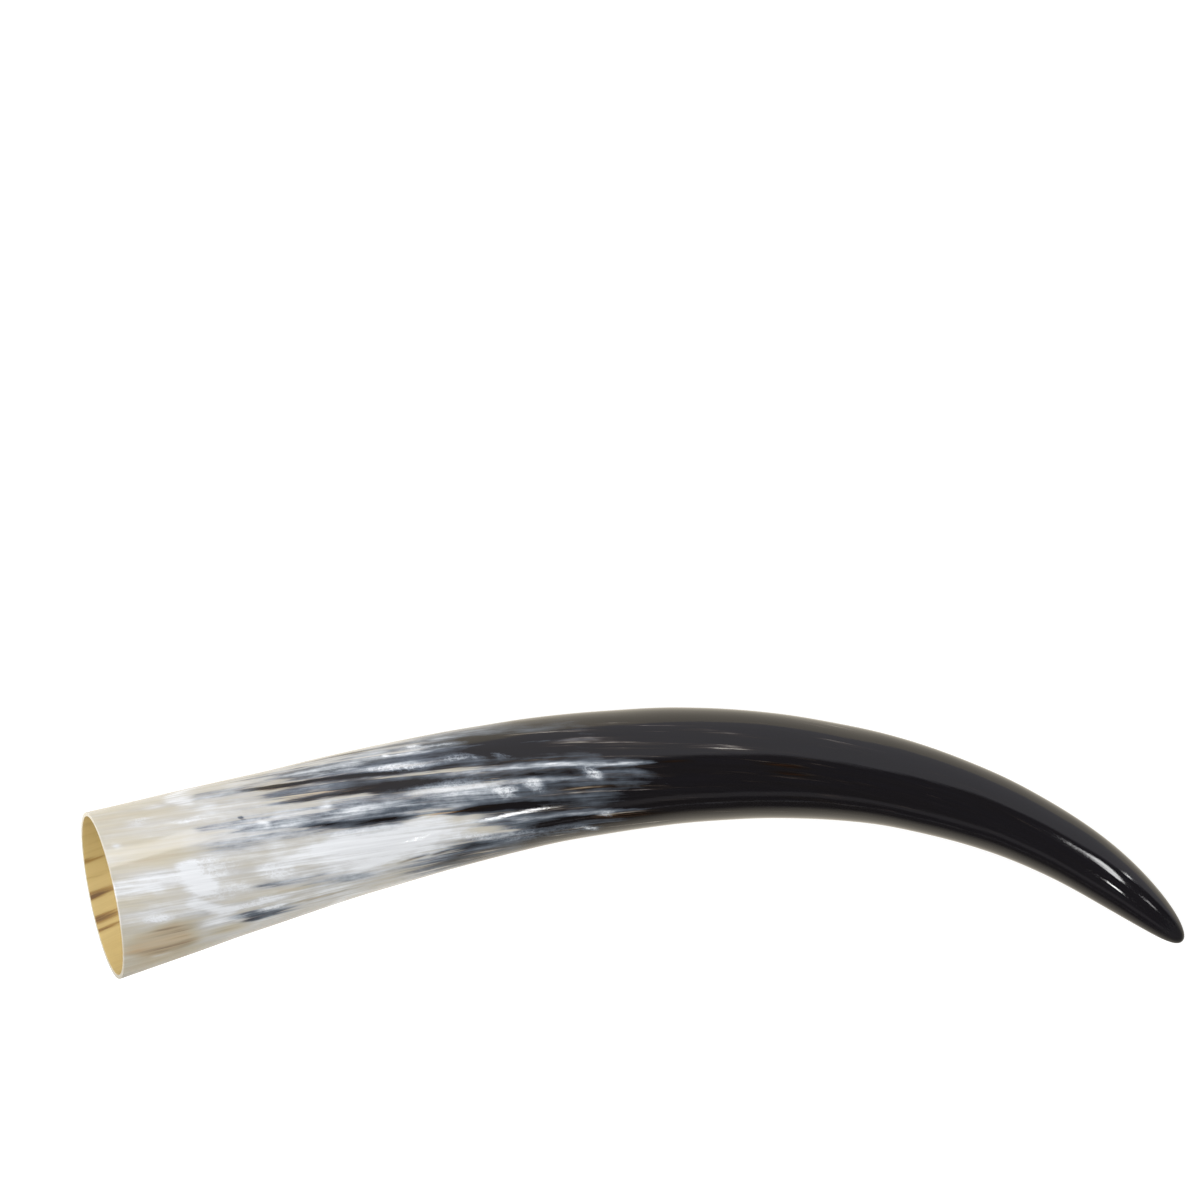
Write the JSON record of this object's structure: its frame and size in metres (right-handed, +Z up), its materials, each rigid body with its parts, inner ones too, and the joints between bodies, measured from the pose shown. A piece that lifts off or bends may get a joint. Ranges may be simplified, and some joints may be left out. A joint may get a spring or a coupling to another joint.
{
  "type": "cow horn",
  "caption": "Polished cow horn lying on its side: hollow and thin-walled at its sawn mouth, curving and tapering to a solid blunt tip.",
  "frame": {"origin": "middle of the horn's box in plan, at the surface it lies on", "axes": "+X from the sawn mouth towards the tip along the longest extent, +Y towards the outside of the bend, +Z up from the surface that the horn lies on"},
  "size_m": [0.6086, 0.145, 0.0881],
  "materials": {
    "polished_horn": "polished keratin horn: pale cream with grey and brown streaks at the mouth, blackish brown from mid-length to the tip"
  },
  "bodies": {
    "root": {"horn": "polished_horn"}
  },
  "joints": []
}
